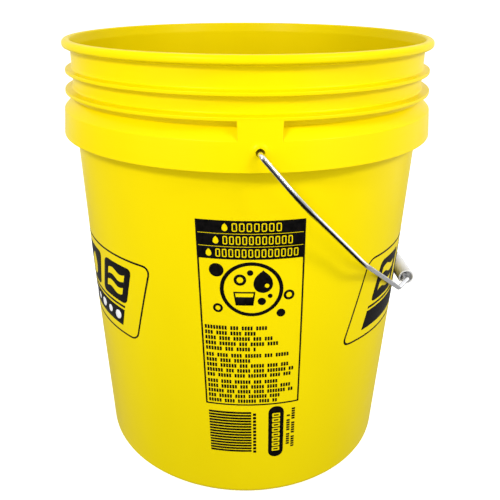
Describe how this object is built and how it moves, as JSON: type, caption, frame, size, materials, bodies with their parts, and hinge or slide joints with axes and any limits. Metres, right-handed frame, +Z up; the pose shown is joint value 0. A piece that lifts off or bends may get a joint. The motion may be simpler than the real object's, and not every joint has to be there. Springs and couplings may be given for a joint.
{
  "type": "wash bucket",
  "caption": "Tall tapered plastic bucket with a rolled rim, thin rings, a deep hollow skirt with bored ears, and a swinging wire bail with a tube grip.",
  "frame": {"origin": "on the bucket's axis, at the ground plane under the foot ring", "axes": "+Z up along the bucket's axis; the two ears and the bail's pivot axis lie along Y; the bail hangs at rest on the +X side"},
  "size_m": [0.3075, 0.3334, 0.3683],
  "materials": {
    "hdpe_yellow": "satin gloss",
    "zinc_wire": "bright zinc plate",
    "grip_white": "smooth"
  },
  "bodies": {
    "bucket": {"bucket_shell": "hdpe_yellow"},
    "bail": {"bail_wire": "zinc_wire"},
    "grip": {"grip": "grip_white"}
  },
  "joints": [
    {"name": "bail_swing", "type": "hinge", "parent": "bucket", "child": "bail", "pos_m": [0, 0, 0.308], "axis": [0, -1, 0], "range_deg": [0, 270]},
    {"name": "grip_spin", "type": "hinge", "parent": "bail", "child": "grip", "pos_m": [0.147, 0, 0.1602], "axis": [0, 1, 0], "continuous": true}
  ]
}
